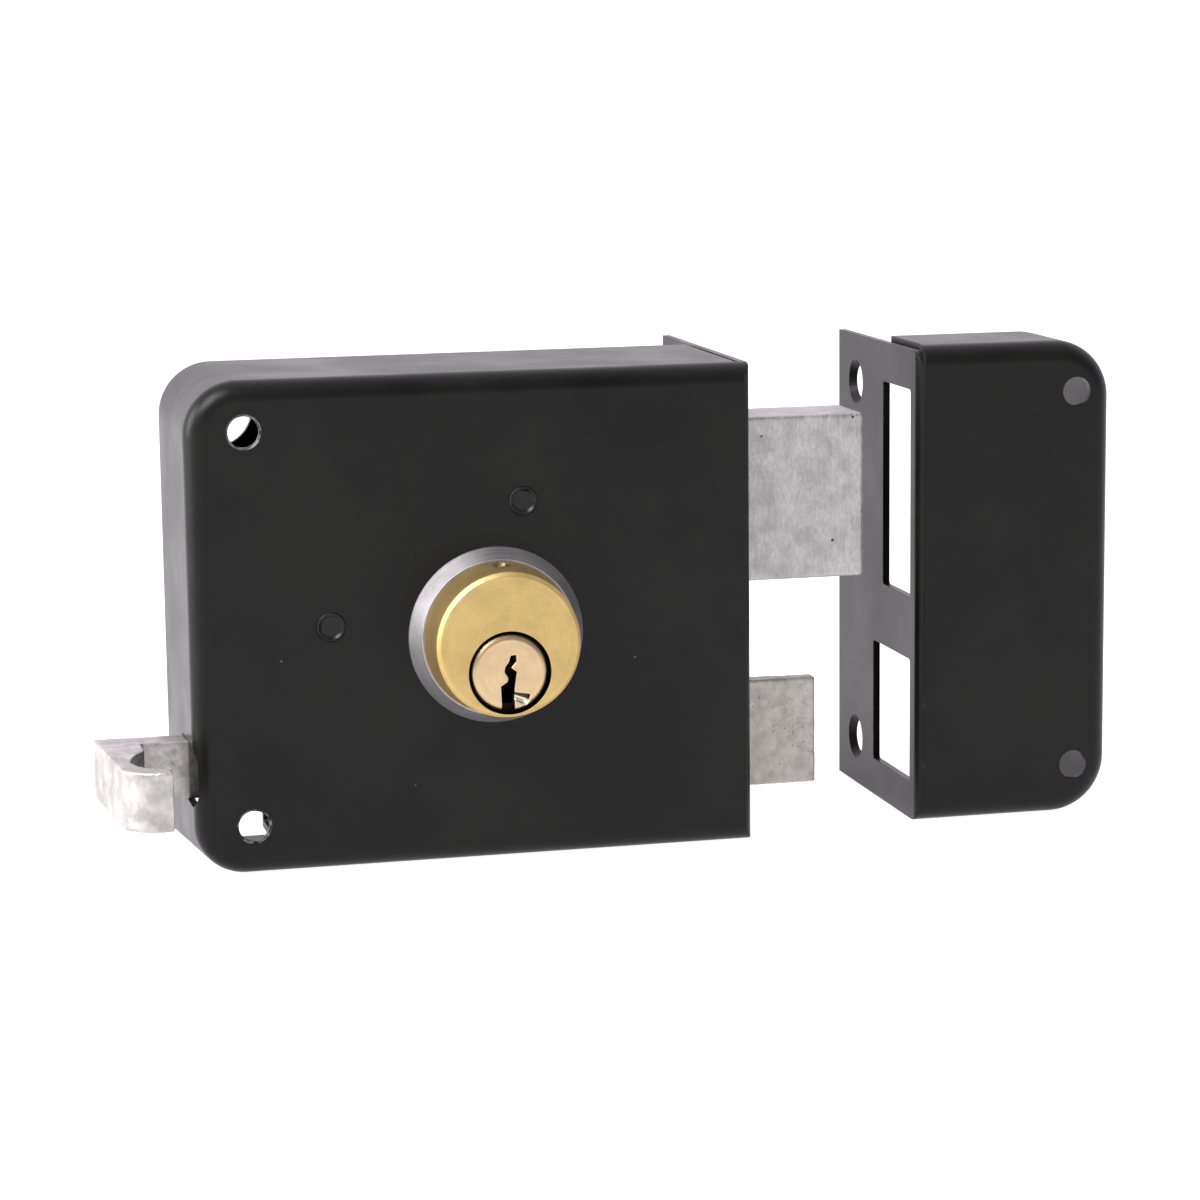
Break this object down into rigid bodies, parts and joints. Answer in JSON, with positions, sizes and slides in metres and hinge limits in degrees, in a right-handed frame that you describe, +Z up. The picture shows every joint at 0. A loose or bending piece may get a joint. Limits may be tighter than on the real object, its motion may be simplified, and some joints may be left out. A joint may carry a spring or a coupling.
{
  "type": "rim lock",
  "caption": "Surface-mounted box lock with a thrown deadbolt, a sprung latch, a side pull, a pin cylinder with an offset plug, and a separate strike box.",
  "frame": {"origin": "on the door's face, on the axis of the plug that the key turns", "axes": "+X the way both bolts are thrown, +Y into the door, +Z up"},
  "size_m": [0.2155, 0.0827, 0.1015],
  "materials": {
    "painted_steel": "worn satin black paint",
    "blackened_steel": "blackened",
    "bright_steel": "plated, dull",
    "drawn_steel": "plain, oiled",
    "milled_steel": "milled, dull",
    "sintered_steel": "sintered, porous",
    "spring_steel": "bright wire",
    "cast_zinc": "as cast zinc alloy, dull",
    "collar_metal": "dull grey",
    "cylinder_brass": "turned, satin",
    "plug_brass": "turned, satin",
    "pin_brass": "turned",
    "nickel_silver": "turned"
  },
  "bodies": {
    "case": {"case_shell": "painted_steel", "back_plate": "blackened_steel", "cover_posts": "drawn_steel", "back_plate_screws": "blackened_steel", "deadbolt_guide_stud": "bright_steel", "guide_stud_clip": "spring_steel", "lever_stud": "bright_steel", "lever_clip": "spring_steel", "cylinder_body": "cylinder_brass", "cylinder_collar": "collar_metal", "cylinder_nut": "blackened_steel", "driver_pins": "nickel_silver", "driver_springs": "spring_steel", "chamber_plugs": "pin_brass", "pinion_bush": "pin_brass", "spring_bracket": "drawn_steel", "spring_rod": "bright_steel", "latch_spring": "spring_steel"},
    "plug": {"plug": "plug_brass", "key_pins": "pin_brass", "tail_bar": "bright_steel", "plug_cap": "drawn_steel", "plug_cap_screws": "bright_steel", "drive_pinion": "sintered_steel"},
    "deadbolt": {"deadbolt_head": "milled_steel", "deadbolt_tail": "drawn_steel", "deadbolt_rivets": "bright_steel"},
    "latch": {"latch_head": "sintered_steel", "latch_bar": "drawn_steel", "latch_rivets": "bright_steel", "pull_knob": "cast_zinc", "pull_rivet": "bright_steel", "lever_pin": "bright_steel"},
    "latch_lever": {"latch_lever": "drawn_steel"},
    "strike": {"strike_shell": "painted_steel"}
  },
  "joints": [
    {"name": "deadbolt_slide", "type": "slide", "parent": "case", "child": "deadbolt", "axis": [1, 0, 0], "range_m": [-0.02827, 0]},
    {"name": "plug_turn", "type": "hinge", "parent": "case", "child": "plug", "pos_m": [0, 0, 0], "axis": [0, 1, 0], "range_deg": [-360, 0]},
    {"name": "latch_slide", "type": "slide", "parent": "case", "child": "latch", "axis": [1, 0, 0], "range_m": [-0.0175, 0], "stiffness_N_per_m": 300, "springref_m": 0.02, "deforming": ["latch_spring"]},
    {"name": "lever_swing", "type": "hinge", "parent": "case", "child": "latch_lever", "pos_m": [-0.0338, 0, 0.0089], "axis": [0, 1, 0], "range_deg": [0, 32.63]},
    {"name": "strike_slide", "type": "slide", "parent": "case", "child": "strike", "axis": [-1, 0, 0], "range_m": [0, 0.035]}
  ],
  "couplings": [
    {"joint": "plug_turn", "follows": "deadbolt_slide", "rad_per_m": 222.22},
    {"joint": "lever_swing", "follows": "latch_slide", "rad_per_m": -32.536}
  ]
}
